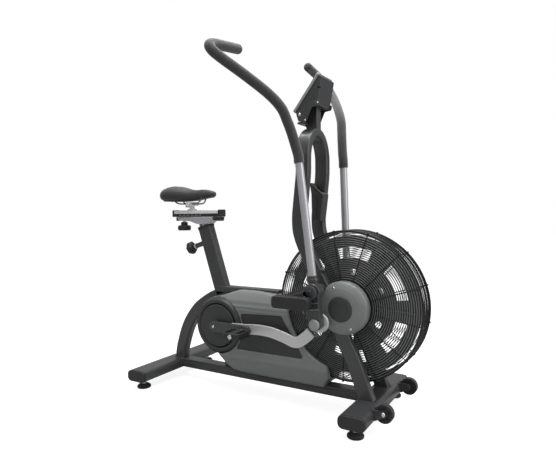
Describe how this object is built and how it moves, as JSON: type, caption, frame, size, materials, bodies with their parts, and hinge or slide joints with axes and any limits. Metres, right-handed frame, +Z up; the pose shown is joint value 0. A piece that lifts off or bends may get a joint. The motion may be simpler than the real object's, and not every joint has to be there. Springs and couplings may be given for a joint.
{
  "type": "air bike",
  "caption": "Fan-braked exercise bike with pedals, swinging arm levers, wire fan cage, sliding saddle and small display.",
  "frame": {"origin": "bottom centre of the bounding box, on the floor", "axes": "+X forward to the fan, +Y to the rider's left, +Z up"},
  "size_m": [1.2906, 0.8622, 1.4988],
  "materials": {
    "frame_paint": "charcoal powder coat, fine satin texture",
    "cap_plastic": "moulded black plastic",
    "foot_rubber": "black rubber",
    "wheel_rubber": "black wheel",
    "cover_plastic": "satin grey moulded plastic",
    "bell_plastic": "satin grey moulded plastic",
    "panel_plastic": "dark grey insert",
    "disc_plastic": "dark grey insert",
    "ring_plastic": "dark moulded plastic",
    "guard_wire": "black coated wire",
    "belt_rubber": "ribbed belt",
    "guard_plastic": "black plastic",
    "footrest_plastic": "black textured plastic",
    "console_plastic": "charcoal painted sheet",
    "bezel_plastic": "light grey bezel",
    "screen_glass": "dark display lens",
    "button_rubber": "soft grey keys",
    "holder_plastic": "charcoal plastic",
    "drive_paint": "charcoal paint",
    "crank_paint": "dark satin paint",
    "fan_metal": "dark painted steel",
    "pedal_plastic": "black nylon",
    "lever_paint": "charcoal paint",
    "lever_cap_plastic": "grey plastic",
    "lever_steel": "silver paint",
    "grip_foam": "matt foam",
    "link_steel": "silver paint",
    "post_steel": "bright steel",
    "rail_aluminium": "anodised",
    "clamp_steel": "bright plated",
    "saddle_vinyl": "soft matt synthetic cover",
    "knob_plastic": "black moulded knob"
  },
  "bodies": {
    "frame": {"main_frame": "frame_paint", "rear_cap_right": "cap_plastic", "front_cap_right": "cap_plastic", "rear_foot_right": "foot_rubber", "front_foot_right": "foot_rubber", "rear_cap_left": "cap_plastic", "front_cap_left": "cap_plastic", "rear_foot_left": "foot_rubber", "front_foot_left": "foot_rubber", "drive_cover_right": "cover_plastic", "side_panel_right": "panel_plastic", "crank_ring_right": "ring_plastic", "drive_cover_left": "cover_plastic", "side_panel_left": "panel_plastic", "crank_ring_left": "ring_plastic", "fan_guard_right": "guard_wire", "hub_bell_right": "bell_plastic", "hub_disc_right": "disc_plastic", "fan_guard_left": "guard_wire", "hub_bell_left": "bell_plastic", "hub_disc_left": "disc_plastic", "fan_guard_rim": "guard_wire", "drive_belt": "belt_rubber", "belt_guard": "guard_plastic", "footrest_right": "footrest_plastic", "footrest_left": "footrest_plastic", "console_housing": "console_plastic", "console_panel": "bezel_plastic", "console_screen": "screen_glass", "bottle_holder": "holder_plastic"},
    "crank": {"crank_drive": "drive_paint", "crank_arm_right": "crank_paint", "crank_arm_left": "crank_paint"},
    "fan_rotor": {"fan": "fan_metal"},
    "seat_column": {"seat_post": "post_steel"},
    "seat_slider": {"slider_rail": "rail_aluminium", "rail_cap_rear": "cap_plastic", "rail_cap_front": "cap_plastic", "saddle_clamp": "clamp_steel", "saddle": "saddle_vinyl"},
    "slide_lock": {"slide_knob": "knob_plastic"},
    "height_lock": {"height_knob": "knob_plastic"},
    "right_pedal": {"pedal_right": "pedal_plastic"},
    "right_lever": {"lever_hub_right": "lever_paint", "lever_cap_right": "lever_cap_plastic", "lever_tube_right": "lever_steel", "lever_grip_right": "grip_foam"},
    "right_link": {"lever_link_right": "link_steel"},
    "right_wheel": {"transport_wheel_right": "wheel_rubber"},
    "left_pedal": {"pedal_left": "pedal_plastic"},
    "left_lever": {"lever_hub_left": "lever_paint", "lever_cap_left": "lever_cap_plastic", "lever_tube_left": "lever_steel", "lever_grip_left": "grip_foam"},
    "left_link": {"lever_link_left": "link_steel"},
    "left_wheel": {"transport_wheel_left": "wheel_rubber"},
    "button_1": {"console_button_1": "button_rubber"},
    "button_2": {"console_button_2": "button_rubber"},
    "button_3": {"console_button_3": "button_rubber"}
  },
  "joints": [
    {"name": "crank_turn", "type": "hinge", "parent": "frame", "child": "crank", "pos_m": [-0.26125, 0, 0.298], "axis": [0, 1, 0], "continuous": true},
    {"name": "fan_spin", "type": "hinge", "parent": "frame", "child": "fan_rotor", "pos_m": [0.34575, 0, 0.43], "axis": [0, 1, 0], "continuous": true},
    {"name": "right_pedal_turn", "type": "hinge", "parent": "crank", "child": "right_pedal", "pos_m": [-0.08925, -0.194, 0.298], "axis": [0, 1, 0], "continuous": true},
    {"name": "left_pedal_turn", "type": "hinge", "parent": "crank", "child": "left_pedal", "pos_m": [-0.43325, 0.194, 0.298], "axis": [0, 1, 0], "continuous": true},
    {"name": "right_lever_swing", "type": "hinge", "parent": "frame", "child": "right_lever", "pos_m": [0.25775, -0.165, 0.4975], "axis": [0, 1, 0], "range_deg": [-14, 14]},
    {"name": "left_lever_swing", "type": "hinge", "parent": "frame", "child": "left_lever", "pos_m": [0.25775, 0.165, 0.4975], "axis": [0, 1, 0], "range_deg": [-14, 14]},
    {"name": "right_link_swing", "type": "hinge", "parent": "right_lever", "child": "right_link", "pos_m": [0.27262, -0.149, 0.37641], "axis": [0, 1, 0], "range_deg": [-15, 15]},
    {"name": "left_link_swing", "type": "hinge", "parent": "left_lever", "child": "left_link", "pos_m": [0.26137, 0.149, 0.37555], "axis": [0, 1, 0], "range_deg": [-15, 15]},
    {"name": "seat_height", "type": "slide", "parent": "frame", "child": "seat_column", "axis": [-0.309, 0, 0.9511], "range_m": [0, 0.18]},
    {"name": "seat_fore_aft", "type": "slide", "parent": "seat_column", "child": "seat_slider", "axis": [1, 0, 0], "range_m": [-0.05, 0.05]},
    {"name": "slide_lock_turn", "type": "hinge", "parent": "seat_column", "child": "slide_lock", "pos_m": [-0.53425, 0, 0.74], "axis": [0, 0, 1], "continuous": true},
    {"name": "height_lock_pull", "type": "slide", "parent": "frame", "child": "height_lock", "axis": [-0.9511, 0, -0.309], "range_m": [0, 0.009], "stiffness_N_per_m": 300},
    {"name": "button_1_press", "type": "slide", "parent": "frame", "child": "button_1", "axis": [0.7875, 0, -0.6163], "range_m": [0, 0.0012], "stiffness_N_per_m": 400},
    {"name": "button_2_press", "type": "slide", "parent": "frame", "child": "button_2", "axis": [0.7875, 0, -0.6163], "range_m": [0, 0.0012], "stiffness_N_per_m": 400},
    {"name": "button_3_press", "type": "slide", "parent": "frame", "child": "button_3", "axis": [0.7875, 0, -0.6163], "range_m": [0, 0.0012], "stiffness_N_per_m": 400},
    {"name": "right_wheel_roll", "type": "hinge", "parent": "frame", "child": "right_wheel", "pos_m": [0.53225, -0.1585, 0.0795], "axis": [0, 1, 0], "continuous": true},
    {"name": "left_wheel_roll", "type": "hinge", "parent": "frame", "child": "left_wheel", "pos_m": [0.53225, 0.1585, 0.0795], "axis": [0, 1, 0], "continuous": true}
  ],
  "couplings": [
    {"joint": "fan_spin", "follows": "crank_turn", "ratio": 3.4667},
    {"joint": "left_lever_swing", "follows": "right_lever_swing", "ratio": -1},
    {"joint": "right_link_swing", "follows": "right_lever_swing", "ratio": -1},
    {"joint": "left_link_swing", "follows": "right_lever_swing", "ratio": 1}
  ]
}
